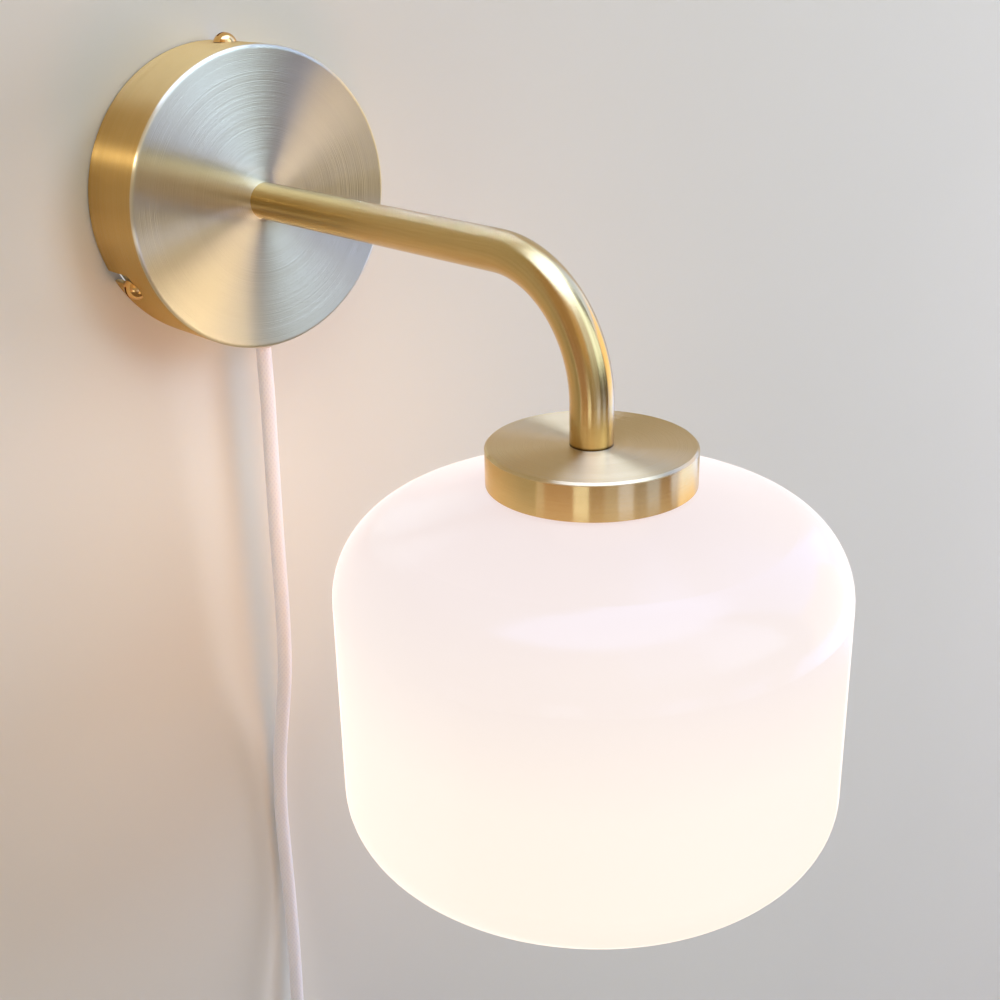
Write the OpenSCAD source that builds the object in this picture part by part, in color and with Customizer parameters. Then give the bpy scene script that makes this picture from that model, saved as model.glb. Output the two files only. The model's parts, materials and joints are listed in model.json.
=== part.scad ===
// Wall lamp: a round brass wall cup, a fixed bent arm, a turned shade cap and a closed opal glass shade.
// Millimetres, +Z up. The origin is the centre of the cup's back, on the wall plane y = 0.
// The lamp stands out from the wall along -Y.

/* [Wall cup] */
// Outside diameter of the wall cup
cup_d = 110; // [100:1:124]
// Depth of the wall cup, from the wall to its face
cup_depth = 30; // [29:0.5:36]
// Sheet thickness of the wall cup
cup_wall = 1.5; // [1:0.1:2]
// Radius of the cup's rounded front edge
cup_edge_r = 1.5; // [0.5:0.25:2.5]
// Distance of the three fixing screws from the wall
screw_out = 12; // [10:0.5:14]
// Head diameter of the domed fixing screws
screw_head_d = 8.5; // [8:0.5:11]
// Head height of the domed fixing screws
screw_head_h = 3.2; // [2.5:0.1:4.5]
// Thread diameter of the fixing screws
screw_d = 4; // [3:0.5:5]
// Turn between the open end of a bayonet slot and its screw, in degrees
slot_turn = 4; // [3:0.5:9]

/* [Wall bracket] */
// Sheet thickness of the wall bracket
bracket_t = 2; // [1.5:0.1:2.5]
// Diameter of the bracket's hub
hub_d = 76; // [72:1:84]
// Distance between the two wall screw slots
slot_spacing = 54; // [50:1:56]
// Width of a wall screw slot
wall_slot_w = 5; // [4:0.5:6]
// Length of a wall screw slot, end to end
wall_slot_l = 12; // [9:0.5:14]
// Width of a bracket arm and its tab
tab_w = 16; // [12:1:18]
// Length of a tab, from the wall
tab_h = 19; // [18:0.5:22]

/* [Arm] */
// Outside diameter of the arm tube
tube_d = 13.5; // [13:0.25:16]
// Distance from the wall to the shade's axis
arm_reach = 195; // [170:1:230]
// Radius of the bend, at the tube's centre line
bend_r = 40; // [28:1:44]
// Drop from the arm's axis to the top of the shade cap
arm_drop = 53; // [50:1:80]
// Thread diameter of the two nipples
nipple_d = 10; // [9.5:0.1:10.4]

/* [Shade cap] */
// Outside diameter of the shade cap
cap_d = 65; // [64:1:76]
// Height of the shade cap
cap_h = 12; // [11:0.5:16]
// Wall and top thickness of the shade cap
cap_wall = 2; // [1.5:0.1:2.4]
// Chamfer round the top edge of the shade cap
cap_chamfer = 0.7; // [0.3:0.1:1.2]

/* [Glass shade] */
// Outside diameter of the shade
shade_d = 162; // [150:1:190]
// Height of the shade below the cap
shade_h = 120; // [114:1:150]
// Thickness of the glass
glass_t = 3; // [2:0.25:4]
// Slope of the shade's top, in degrees
shade_slope = 18; // [10:0.5:24]
// Radius of the shade's upper shoulder
shoulder_r = 25.5; // [15:0.5:32]
// Radius of the shade's lower edge
foot_r = 18.5; // [10:0.5:30]
// Outside diameter of the shade's neck
neck_d = 54; // [50:0.5:55]

/* [Lampholder and bulb] */
// Outside diameter of the lampholder
holder_d = 28; // [27:0.5:32]
// Length of the lampholder's body
holder_l = 34.5; // [33:0.5:40]
// Diameter of the bulb's globe
globe_d = 45; // [42:0.5:46]
// Diameter of the bulb's screw cap
screw_cap_d = 13.5; // [12.5:0.1:14]

/* [Cord] */
// Diameter of the textile cord
cord_d = 6; // [5:0.1:6.4]
// Distance of the cord's outlet from the wall
outlet_out = 20; // [19.5:0.5:20.5]

/* [Cord switch and plug] */
// Length of the cord switch, without its boots
switch_l = 56; // [54:1:64]
// Width of the cord switch
switch_w = 26; // [24:0.5:30]
// Thickness of the cord switch
switch_t = 18; // [17:0.5:18.5]
// Full swing of the rocker, in degrees
rocker_swing = 12; // [8:1:14]
// Width of the plug's body
plug_w = 35.3; // [34:0.1:36]
// Thickness of the plug's body
plug_t = 13.7; // [13:0.1:14.5]
// Distance between the plug's pins
pin_spacing = 18.6; // [18:0.1:19]

/* [Hidden] */
$fn = 64;
part_gap = 0.05;
thread_gap = 0.1;
loose_gap = 0.3;
glass_gap = 0.4;

// Wall cup
cup_r = cup_d / 2;
cup_in_r = cup_r - cup_wall;
cup_face = cup_depth - cup_wall;
screw_angles = [0, 120, 240];
slot_w = screw_d + 2 * loose_gap;
screw_l = 10;
driver_slot_w = 1.1;
driver_slot_h = 1.2;

// Bracket
tab_out = cup_in_r - 1;
tab_bend_r = bracket_t + 1;
tab_end_r = tab_w / 2;

// Nipples, nuts and washer
nipple_r = nipple_d / 2;
nipple_bore_r = nipple_r - 1.5;
nipple_hole_r = nipple_r + 2 * thread_gap;
nut_flats = nipple_d + 4;
nut_h = 4;
washer_r = nut_flats / 2 + 2;
washer_t = 1.2;
nipple_in_tube = 14;
bend_clear = 1;
arm_nut_out = cup_face - washer_t - nut_h;
arm_nipple_end = arm_nut_out - 7;

// Arm and shade cap levels
tube_r = tube_d / 2;
tube_bore_r = nipple_r + thread_gap;
cap_r = cap_d / 2;
cap_top = -arm_drop;
cap_in_top = cap_top - cap_wall;
cap_bottom = cap_top - cap_h;
cap_in_r = cap_r - cap_wall;
cap_nut_bottom = cap_in_top - nut_h;

// Shade neck, collar and gasket
neck_r = neck_d / 2;
neck_in_r = neck_r - glass_t;
gasket_t = 1.5;
neck_top = cap_in_top - gasket_t - loose_gap;
collar_in_r = neck_r + glass_gap;
collar_out_r = cap_in_r - part_gap;
collar_h = cap_h - cap_wall - 1.5;

// Glass outline: a cone that leaves the cap, a shoulder arc, a straight side and a foot arc
shade_r = shade_d / 2;
shade_top = cap_bottom - 1.1;
shade_bottom = cap_bottom - shade_h;
shoulder_cr = shade_r - shoulder_r;
shoulder_cz = shade_top - (shoulder_cr - cap_r) * tan(shade_slope) - shoulder_r / cos(shade_slope);
foot_cr = shade_r - foot_r;
foot_cz = shade_bottom + foot_r;

// Lampholder and bulb levels
holder_r = holder_d / 2;
holder_wall = 1.6;
holder_top = cap_nut_bottom - 0.5;
holder_cap_h = 17;
holder_boss_h = 4;
holder_mid = holder_top - holder_cap_h;
holder_bottom = holder_mid - holder_l;
cap_nipple_end = holder_top - 6;
insert_h = 8;
insert_seat = holder_mid - 9.5;
socket_r = screw_cap_d / 2 + 0.55;
contact_h = 2.7;
bulb_top = insert_seat - contact_h - loose_gap;
bulb_tip_h = 1.2;
insulator_h = 2.3;
screw_cap_top = bulb_top - bulb_tip_h - insulator_h;
screw_cap_bottom = holder_bottom - 0.5;
globe_r = globe_d / 2;
globe_cut_r = globe_r * 0.71;
globe_cut = sqrt(globe_r * globe_r - globe_cut_r * globe_cut_r);
housing_h = 18;
globe_z = screw_cap_bottom - housing_h - globe_cut;

// Lead and cores
lead_d = 6;
core_d = 2.2;
core_gap = 1.3;
lead_start = arm_nipple_end - 2;
lead_end = cap_nipple_end - 2;

// Terminal block on the bracket's upper arm
block_x = 17;
block_y = 20;
block_h = 13;
block_mid = 30;
pole_pitch = 10;
wire_out = bracket_t + 6.5;
wire_hole_r = 1.5;
clamp_screw_r = 1.6;
clamp_screw_h = 4;
clamp_places = [for (sx = [-1, 1], sy = [-1, 1]) [sx * 5.2, block_mid + sy * pole_pitch / 2]];

// Gland at the cup's lowest point
cord_r = cord_d / 2;
gland_bore_r = cord_r + thread_gap;
gland_r = cord_r + 1.95;
gland_flange_r = gland_r + 1.3;
gland_nose_h = 2;
gland_flange_h = 0.8;
gland_in_h = 18;
gland_flats = 2 * gland_r + 4;
gland_nut_h = 4;
gland_nut_r = gland_flats / 2 / cos(30);
gland_nut_z = -sqrt(cup_in_r * cup_in_r - gland_nut_r * gland_nut_r) + part_gap;
grip_screw_r = 2;
grip_screw_z = -cup_r + 13.5;
tail_top = -cup_r + gland_in_h + 2;

// Core routes inside the cup: right of centre, up from the centre, out from the wall.
// Each starts straight, square to the sheath that it leaves.
core_start = 1.5;
lead_core_upper = [[-core_gap, 0, lead_start], [-core_gap, 0, lead_start - core_start],
    [-1.6, 0.4, 11.5], [-4, 2.5, 9.5], [-9, 7, 8.7], [-14.5, 14, wire_out], [-17, 22, wire_out],
    [-17, 29, wire_out], [-15, 33.6, wire_out], [-11.5, 35, wire_out], [-5, 35, wire_out]];
lead_core_lower = [[core_gap, 0, lead_start], [core_gap, 0, lead_start - core_start],
    [1.2, 1, 11.4], [-0.5, 4.5, 9.5], [-4.5, 10, 8.7], [-9.5, 16.5, wire_out], [-12.2, 21, wire_out],
    [-11.6, 24, wire_out], [-9, 25, wire_out], [-5, 25, wire_out]];
mains_core_upper = [[core_gap, tail_top, outlet_out], [core_gap, tail_top + core_start, outlet_out],
    [1.6, -32, 20], [4, -27, 19], [10, -20, 16], [17, -11, 12.5], [20.5, 0, 10], [21.5, 12, 8.8],
    [21, 24, wire_out], [18.5, 32, wire_out], [14, 35, wire_out], [5, 35, wire_out]];
mains_core_lower = [[-core_gap, tail_top, outlet_out], [-core_gap, tail_top + core_start, outlet_out],
    [-1, -31, 20], [1, -25.5, 18.5], [6.5, -17.5, 15.5], [13, -9, 12], [16.5, 1, 9.8], [17.3, 12, 8.6],
    [16.5, 20, wire_out], [13, 24.6, wire_out], [9.5, 25, wire_out], [5, 25, wire_out]];

// Cord route: down from the gland, in to the wall, then to the cord switch
cord_x = -6;
cord_out = 10;
cord_route = [[0, -20, -57], [0, -20, -66], [0, -20, -78], [0, -19.5, -92], [0, -19, -107],
    [0, -18.5, -122], [0, -18, -138], [0, -17.8, -154], [0, -17.5, -170], [0, -16.7, -186],
    [0, -15.3, -201], [0, -12.4, -216], [0, -9, -231], [-0.2, -6, -246], [-0.5, -4.2, -262],
    [-1, -3.6, -278], [-1, -3.5, -294], [-1, -3.7, -310], [-1.4, -4.5, -326], [-2.4, -6, -342],
    [-3.8, -7.8, -358], [-5.2, -9.3, -374], [-6, -10, -387], [-6, -10, -396]];

// Cord switch, hanging in line with the cord
boot_h = 10;
boot_r = 5.4;
boot_end_r = 4.2;
boot_root = 6;
switch_top = -396 - boot_h;
switch_z = switch_top - switch_l / 2;
switch_edge_r = 5;
switch_split = -1;
rocker_w = 11.4;
rocker_l = 20;
rocker_depth = 4;
rocker_rise = 6.3;
rocker_dip = 0.9;
rocker_pivot = switch_t / 2 - 4;
rocker_pin_r = 1.5;
rocker_pin_l = 4;
pocket_w = rocker_w + 2 * loose_gap;
pocket_l = rocker_l + 2.4;
switch_screw_r = 1.5;
switch_screw_head_r = 2.6;
switch_screw_head_h = 1.8;
switch_screw_l = 11;
switch_screws_at = [[8, 16], [-8, -16]];
boot_bottom = switch_top - switch_l - boot_h;

// Coil of the length that isn't hung: turns spiral in on one layer and out on the next
coil_turns = 7;
coil_r = 46;
coil_step = 6.5;
coil_rings = 24;
coil_back = -4.8;
coil_front = coil_back - coil_step;
coil_x = cord_x + coil_r;
coil_z = boot_bottom - 60;
coil_tail = 12;
link_route = [[cord_x, -cord_out, boot_bottom], [cord_x, -cord_out, boot_bottom - 7],
    [cord_x, -9.2, boot_bottom - 14], [cord_x, -7.4, boot_bottom - 21], [cord_x, -5.7, boot_bottom - 28],
    [cord_x, coil_back - 0.1, boot_bottom - 35], [cord_x, coil_back, boot_bottom - 42],
    [cord_x, coil_back, coil_z + cord_d]];

// Tie round the coil's top
tie_w = 10;
tie_t = 0.9;
tie_out_r = coil_r - coil_step / 4 + cord_r + glass_gap;
tie_in_edge = coil_r - coil_step * (coil_turns / 2 - 0.25) - cord_r;
tie_in_r = sqrt(tie_in_edge * tie_in_edge - tie_w * tie_w / 4) - glass_gap;
tie_corner_r = 3;

// Plug, hanging below the coil's end
plug_boot_l = 26;
plug_boot_r = 5.6;
plug_boot_end_r = 4.2;
plug_ribs = 5;
plug_l = 35;
plug_shoulder = 12;
plug_neck_w = 15;
pin_l = 19;
pin_r = 2;
pin_core_r = 1.5;
pin_root = 8;
sleeve_l = 10;
sleeve_r = 1.9;
plug_top = coil_z - coil_tail;

// Places what is drawn right, up and out from the wall
module from_wall() {
    rotate([90, 0, 0]) children();
}

// Places what is drawn round the shade's axis, with its heights in Z
module on_shade_axis() {
    translate([0, -arm_reach, 0]) children();
}

// Ring from one height up to another
module ring(outer_r, inner_r, low, high) {
    translate([0, 0, low]) difference() {
        cylinder(r = outer_r, h = high - low);
        translate([0, 0, -1]) cylinder(r = inner_r, h = high - low + 2);
    }
}

// Hexagon nut with a plain bore
module hex_nut(flats, bore_r, h) {
    difference() {
        cylinder(r = flats / 2 / cos(30), h = h, $fn = 6);
        translate([0, 0, -1]) cylinder(r = bore_r, h = h + 2);
    }
}

// Round bar along the arm's centre line, from a distance off the wall to a height below the arm
module along_arm(r, out, low) {
    translate([0, -out, 0]) rotate([90, 0, 0]) cylinder(r = r, h = arm_reach - bend_r - out);
    translate([0, -(arm_reach - bend_r), -bend_r]) rotate([180, -90, 0])
        rotate_extrude(angle = 90) translate([bend_r, 0]) circle(r = r);
    on_shade_axis() translate([0, 0, low]) cylinder(r = r, h = -bend_r - low);
}

// Unit vector
function unit(v) = v / norm(v);

// Direction of a path at one of its points
function heading(path, i) = unit(path[min(i + 1, len(path) - 1)] - path[max(i - 1, 0)]);

// Corner ring of a tube at one point of its path, with its first corner towards a side
function tube_ring(path, i, r, sides, side) =
    let (t = heading(path, i), u = unit(side - (side * t) * t), v = cross(t, u))
    [for (k = [0 : sides - 1]) path[i] + r * (cos(360 * k / sides) * u + sin(360 * k / sides) * v)];

// Triangles between two neighbouring corners of two neighbouring rings
function tube_panel(i, k, sides) =
    let (a = i * sides + k, b = i * sides + (k + 1) % sides)
    [[a, a + sides, b], [b, a + sides, b + sides]];

// One closed tube along a path
module tube(path, d, sides, side) {
    last = (len(path) - 1) * sides;
    points = [for (i = [0 : len(path) - 1]) each tube_ring(path, i, d / 2, sides, side)];
    walls = [for (i = [0 : len(path) - 2], k = [0 : sides - 1]) each tube_panel(i, k, sides)];
    caps = [for (k = [1 : sides - 2]) each [[0, k, k + 1], [last, last + k + 1, last + k]]];
    polyhedron(points = points, faces = concat(walls, caps));
}

// Easy change from 0 to 1
function ease(t) = t <= 0 ? 0 : t >= 1 ? 1 : t * t * (3 - 2 * t);

// Point of the coil after a number of turns, entering and leaving downwards at its left side
function coil_point(u) =
    let (r = coil_r - coil_step * min(u, coil_turns - u), a = 180 + 360 * u,
        climb = ease(2 * (u - coil_turns / 2) + 0.5))
    [coil_x + r * cos(a), coil_back + (coil_front - coil_back) * climb, coil_z + r * sin(a)];

// Least distance between the surfaces of a tube's stretches that lie a number of points or more apart
function least_gap(path, d, apart) =
    let (last = len(path) - 1)
    min([for (i = [0 : last - apart], k = [i + apart : last]) norm(path[i] - path[k])]) - d;

coil_path = [
    [cord_x, coil_back, coil_z + cord_d],
    for (i = [0 : coil_turns * coil_rings]) coil_point(i / coil_rings),
    [cord_x, coil_front, coil_z - coil_tail]
];

// Outline of the glass, drawn in by a distance from its outer face
module glass_outline(inset) {
    side_r = shade_r - inset;
    arc_r = shoulder_r - inset;
    low = shade_bottom + inset;
    slope_r = shoulder_cr + arc_r * sin(shade_slope);
    slope_z = shoulder_cz + arc_r * cos(shade_slope);
    translate([shoulder_cr, shoulder_cz]) circle(r = arc_r);
    translate([foot_cr, foot_cz]) circle(r = foot_r - inset);
    polygon([[0, low], [foot_cr, low], [side_r, foot_cz], [side_r, shoulder_cz], [slope_r, slope_z],
        [0, slope_z + slope_r * tan(shade_slope)]]);
}

// Half outline of a rounded flat body, from its middle to its edge
module pill_half(w, t, r) {
    translate([0, -t / 2]) square([w / 2 - r, t]);
    translate([0, r - t / 2]) square([w / 2, t - 2 * r]);
    for (side = [-1, 1]) translate([w / 2 - r, side * (t / 2 - r)]) circle(r = r);
}

// Rounded flat body with half-round ends, lying along Y
module pill(w, l, t, r) {
    straight = l - w;
    translate([0, straight / 2, 0]) rotate([90, 0, 0]) linear_extrude(straight) {
        pill_half(w, t, r);
        mirror([1, 0, 0]) pill_half(w, t, r);
    }
    for (turn = [0, 180]) rotate([0, 0, turn]) translate([0, straight / 2, 0])
        rotate_extrude(angle = 180) pill_half(w, t, r);
}

// Places what is drawn round the cord switch's middle
module at_switch() {
    translate([cord_x, -cord_out, switch_z]) from_wall() children();
}

// Pressed steel bracket: a hub, two wall screw slots and three tabs bent forward for the fixing screws
module wall_bracket() {
    color("silver") from_wall() difference() {
        union() {
            cylinder(d = hub_d, h = bracket_t);
            for (a = screw_angles) rotate([0, 0, -a]) bracket_arm();
        }
        for (side = [-1, 1]) translate([side * slot_spacing / 2, 0, -1]) wall_slot();
        for (a = screw_angles) rotate([0, 0, -a]) translate([0, tab_out + 1, screw_out])
            rotate([90, 0, 0]) cylinder(r = screw_d / 2 + thread_gap, h = bracket_t + 2);
    }
}

// One arm of the bracket with its tab
module bracket_arm() {
    intersection() {
        rotate([90, 0, 90]) linear_extrude(tab_w, center = true) bracket_bend();
        union() {
            translate([-tab_w / 2, 0, 0]) cube([tab_w, cup_r, tab_h - tab_end_r]);
            translate([0, 0, tab_h - tab_end_r]) rotate([-90, 0, 0]) cylinder(r = tab_end_r, h = cup_r);
        }
    }
}

// Section of a bracket arm: flat on the wall, a bend, and the tab standing forward
module bracket_bend() {
    bend_at = tab_out - tab_bend_r;
    square([bend_at, bracket_t]);
    translate([bend_at, tab_bend_r]) intersection() {
        difference() {
            circle(r = tab_bend_r);
            circle(r = tab_bend_r - bracket_t);
        }
        translate([0, -tab_bend_r]) square(tab_bend_r);
    }
    translate([tab_out - bracket_t, tab_bend_r]) square([bracket_t, tab_h - tab_bend_r]);
}

// Slot for a wall screw, lying along X
module wall_slot() {
    reach = (wall_slot_l - wall_slot_w) / 2;
    translate([-reach, -wall_slot_w / 2, 0]) cube([2 * reach, wall_slot_w, bracket_t + 2]);
    for (side = [-1, 1]) translate([side * reach, 0, 0]) cylinder(d = wall_slot_w, h = bracket_t + 2);
}

// Drawn brass cup with three bayonet slots, the arm's hole and the cord's hole
module wall_cup() {
    color("burlywood") from_wall() difference() {
        rotate_extrude($fn = 128) difference() {
            union() {
                square([cup_r, cup_depth - cup_edge_r]);
                square([cup_r - cup_edge_r, cup_depth]);
                translate([cup_r - cup_edge_r, cup_depth - cup_edge_r]) circle(r = cup_edge_r);
            }
            square([cup_in_r, cup_face]);
        }
        translate([0, 0, cup_face - 1]) cylinder(r = nipple_hole_r, h = cup_wall + 2);
        for (a = screw_angles) rotate([0, 0, -a]) bayonet_slot();
        translate([0, 1 - cup_in_r, outlet_out]) rotate([90, 0, 0])
            cylinder(r = gland_r + 2 * thread_gap, h = cup_wall + 2);
    }
}

// Bayonet slot at the cup's top: in from the open edge, then across to the screw
module bayonet_slot() {
    inside = cup_in_r - 2;
    deep = cup_wall + 4;
    across = inside * sin(slot_turn);
    rotate([0, 0, -slot_turn]) {
        translate([-slot_w / 2, inside, -1]) cube([slot_w, deep, screw_out + 1]);
        translate([0, inside, screw_out]) rotate([-90, 0, 0]) cylinder(d = slot_w, h = deep);
    }
    translate([0, inside, screw_out - slot_w / 2]) cube([across, deep, slot_w]);
    translate([0, inside, screw_out]) rotate([-90, 0, 0]) cylinder(d = slot_w, h = deep);
}

// Three domed screws that hold the cup on the bracket's tabs
module cup_screws() {
    color("darkgoldenrod") from_wall() for (a = screw_angles) rotate([0, 0, -a])
        translate([0, cup_r + part_gap, screw_out]) rotate([-90, 0, 0]) domed_screw();
}

// Domed screw standing on its seat, with a driver slot
module domed_screw() {
    head_r = screw_head_d / 2;
    ball_r = (head_r * head_r + screw_head_h * screw_head_h) / (2 * screw_head_h);
    difference() {
        intersection() {
            translate([0, 0, screw_head_h - ball_r]) sphere(r = ball_r);
            cylinder(r = screw_head_d, h = screw_head_h + 1);
        }
        translate([-screw_head_d, -driver_slot_w / 2, screw_head_h - driver_slot_h])
            cube([2 * screw_head_d, driver_slot_w, driver_slot_h + 1]);
    }
    translate([0, 0, -screw_l]) cylinder(d = screw_d, h = screw_l);
}

// Threaded nipple that joins the arm to the cup
module arm_nipple() {
    color("goldenrod") from_wall()
        ring(nipple_r, nipple_bore_r, arm_nipple_end, cup_depth + nipple_in_tube);
}

module arm_washer() {
    color("gray") from_wall() ring(washer_r, nipple_hole_r, cup_face - washer_t, cup_face);
}

module arm_nut() {
    color("goldenrod") from_wall() translate([0, 0, arm_nut_out])
        hex_nut(nut_flats, nipple_r + thread_gap, nut_h);
}

// Two-pole terminal block with a wire hole and two clamp screws for each pole
module terminal_block() {
    color("white") from_wall() difference() {
        translate([-block_x / 2, block_mid - block_y / 2, bracket_t]) cube([block_x, block_y, block_h]);
        for (side = [-1, 1]) translate([-block_x, block_mid + side * pole_pitch / 2, wire_out])
            rotate([0, 90, 0]) cylinder(r = wire_hole_r, h = 2 * block_x);
        for (p = clamp_places) translate([p[0], p[1], bracket_t + block_h - clamp_screw_h])
            cylinder(r = clamp_screw_r + thread_gap, h = clamp_screw_h + 1);
        translate([-block_x, block_mid - 1, bracket_t + block_h - 3]) cube([2 * block_x, 2, 4]);
    }
}

module terminal_screws() {
    color("silver") from_wall() for (p = clamp_places)
        translate([p[0], p[1], bracket_t + block_h - clamp_screw_h]) difference() {
            cylinder(r = clamp_screw_r, h = clamp_screw_h - 0.6);
            translate([-3, -0.3, clamp_screw_h - 1.4]) cube([6, 0.6, 2]);
        }
}

// Cord grip through the cup's lowest point: tapered nose, flange and threaded sleeve
module cord_gland() {
    seat = part_gap;
    color("white") translate([0, -outlet_out, -cup_r]) difference() {
        rotate_extrude() polygon([[gland_bore_r, -gland_nose_h], [gland_bore_r + 1.2, -gland_nose_h],
            [gland_flange_r, -gland_flange_h], [gland_flange_r, -seat], [gland_r, -seat],
            [gland_r, gland_in_h], [gland_bore_r, gland_in_h]]);
        translate([0, 0, grip_screw_z + cup_r]) rotate([0, 90, 0])
            cylinder(r = grip_screw_r + thread_gap, h = 2 * gland_r);
    }
}

module gland_nut() {
    color("white") translate([0, -outlet_out, gland_nut_z])
        hex_nut(gland_flats, gland_r + thread_gap, gland_nut_h);
}

// Nylon screw that presses on the cord inside the grip
module gland_screw() {
    color("ivory") translate([cord_r + part_gap, -outlet_out, grip_screw_z]) rotate([0, 90, 0])
        difference() {
            cylinder(r = grip_screw_r, h = gland_r);
            translate([-3, -0.4, gland_r - 1]) cube([6, 0.8, 2]);
        }
}

// Sheathed end of the cord, held in the grip
module cord_tail() {
    color("mistyrose") translate([0, -outlet_out, -cup_r - gland_nose_h])
        cylinder(d = cord_d, h = tail_top + cup_r + gland_nose_h);
}

module mains_cores() {
    color("saddlebrown") from_wall() tube(mains_core_upper, core_d, 8, [0, 0, 1]);
    color("royalblue") from_wall() tube(mains_core_lower, core_d, 8, [0, 0, 1]);
}

// Bent brass tube from the cup's face to the shade cap
module arm_tube() {
    color("burlywood") difference() {
        along_arm(tube_r, cup_depth, cap_top);
        along_arm(tube_bore_r, cup_depth - 1, cap_top - 1);
    }
}

// Sheathed lead through the arm, from the cup to the lampholder
module lamp_lead() {
    color("white") along_arm(lead_d / 2, lead_start, lead_end);
}

module lead_cores() {
    color("saddlebrown") from_wall() tube(lead_core_upper, core_d, 8, [0.5, 1, 1]);
    color("royalblue") from_wall() tube(lead_core_lower, core_d, 8, [0.5, 1, 1]);
}

// Threaded nipple that joins the arm, the shade cap and the lampholder
module cap_nipple() {
    color("goldenrod") on_shade_axis()
        ring(nipple_r, nipple_bore_r, cap_nipple_end, -bend_r - bend_clear);
}

// Turned brass cap, open below
module shade_cap() {
    color("burlywood") on_shade_axis() translate([0, 0, cap_bottom]) rotate_extrude($fn = 128) difference() {
        polygon([[nipple_hole_r, 0], [cap_r, 0], [cap_r, cap_h - cap_chamfer], [cap_r - cap_chamfer, cap_h],
            [nipple_hole_r, cap_h]]);
        square([cap_in_r, cap_h - cap_wall]);
    }
}

module cap_nut() {
    color("goldenrod") on_shade_axis() translate([0, 0, cap_nut_bottom])
        hex_nut(nut_flats, nipple_r + thread_gap, nut_h);
}

// Threaded collar in the cap that takes the glass neck
module shade_collar() {
    color("gainsboro") on_shade_axis() ring(collar_out_r, collar_in_r, cap_in_top - collar_h, cap_in_top);
}

module shade_gasket() {
    color("whitesmoke") on_shade_axis() ring(neck_r, neck_in_r, cap_in_top - gasket_t, cap_in_top);
}

// Closed opal glass drum with rounded shoulders and a short neck
module shade() {
    neck_foot = shoulder_cz;
    color("floralwhite") on_shade_axis() rotate_extrude($fn = 128) difference() {
        union() {
            glass_outline(0);
            translate([0, neck_foot]) square([neck_r, neck_top - neck_foot]);
        }
        glass_outline(glass_t);
        translate([0, neck_foot]) square([neck_in_r, neck_top - neck_foot + neck_r]);
    }
}

// Top of the lampholder, screwed on the nipple
module holder_cap() {
    boss_r = nipple_r + 3;
    low = -holder_cap_h;
    slope = low + 7;
    color("white") on_shade_axis() translate([0, 0, holder_top]) rotate_extrude()
        polygon([[nipple_r + thread_gap, 0], [boss_r, 0], [boss_r, -holder_boss_h], [holder_r, slope],
            [holder_r, low], [holder_r - holder_wall, low], [holder_r - holder_wall, slope - 0.5],
            [boss_r - holder_wall, -holder_boss_h - 1], [nipple_r + thread_gap, -holder_boss_h - 1]]);
}

// Lampholder skirt with the socket for the bulb
module holder_body() {
    waist_r = holder_r - 0.8;
    pocket_r = holder_r - 3;
    color("white") on_shade_axis() rotate_extrude()
        polygon([[pocket_r, holder_mid], [holder_r, holder_mid], [holder_r, holder_mid - 5],
            [waist_r, holder_mid - 6], [waist_r, holder_bottom + 3], [holder_r, holder_bottom + 2],
            [holder_r, holder_bottom], [socket_r, holder_bottom], [socket_r, insert_seat],
            [pocket_r, insert_seat]]);
}

// Ceramic disc that carries the contact
module holder_insert() {
    color("linen") on_shade_axis() translate([0, 0, insert_seat])
        cylinder(r = holder_r - 3 - 2 * thread_gap, h = insert_h);
}

module holder_contact() {
    color("goldenrod") on_shade_axis() translate([0, 0, insert_seat - contact_h])
        cylinder(r = 2.5, h = contact_h);
}

module bulb_contact() {
    color("silver") on_shade_axis() translate([0, 0, bulb_top - bulb_tip_h])
        cylinder(r = 2.4, h = bulb_tip_h);
}

module bulb_insulator() {
    color("black") on_shade_axis() translate([0, 0, screw_cap_top])
        cylinder(r1 = screw_cap_d / 2 - 0.8, r2 = 2.8, h = insulator_h);
}

module bulb_screw_cap() {
    color("silver") on_shade_axis() translate([0, 0, screw_cap_bottom])
        cylinder(d = screw_cap_d, h = screw_cap_top - screw_cap_bottom);
}

// Flared plastic foot of the bulb
module bulb_housing() {
    root_r = screw_cap_d / 2 + 1.2;
    color("white") on_shade_axis() translate([0, 0, screw_cap_bottom - housing_h]) rotate_extrude()
        polygon([[0, 0], [globe_cut_r, 0], [globe_cut_r, 2], [root_r + 1, housing_h - 4],
            [root_r, housing_h], [0, housing_h]]);
}

// Frosted globe, cut flat where it meets the foot
module bulb_globe() {
    color("lightyellow") on_shade_axis() intersection() {
        translate([0, 0, globe_z]) sphere(r = globe_r);
        translate([0, 0, globe_z - globe_d]) cylinder(r = globe_d, h = globe_d + globe_cut);
    }
}

// Cord from the gland to the cord switch
module power_cord() {
    color("mistyrose") tube(cord_route, cord_d, 10, [1, 0, 0]);
}

// Cord from the cord switch to the coil
module cord_link() {
    color("mistyrose") tube(link_route, cord_d, 10, [1, 0, 0]);
}

module cord_coil() {
    color("mistyrose") tube(coil_path, cord_d, 6, [0, 1, 0]);
}

// Flat strap round the coil's turns
module cord_tie() {
    front = coil_front - cord_r - glass_gap;
    back = coil_back + cord_r + glass_gap;
    color("dimgray") translate([coil_x - tie_w / 2, 0, coil_z]) rotate([90, 0, 90]) linear_extrude(tie_w)
        difference() {
            rounded_box(front - tie_t, back + tie_t, tie_in_r - tie_t, tie_out_r + tie_t,
                tie_corner_r + tie_t);
            rounded_box(front, back, tie_in_r, tie_out_r, tie_corner_r);
        }
}

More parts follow.
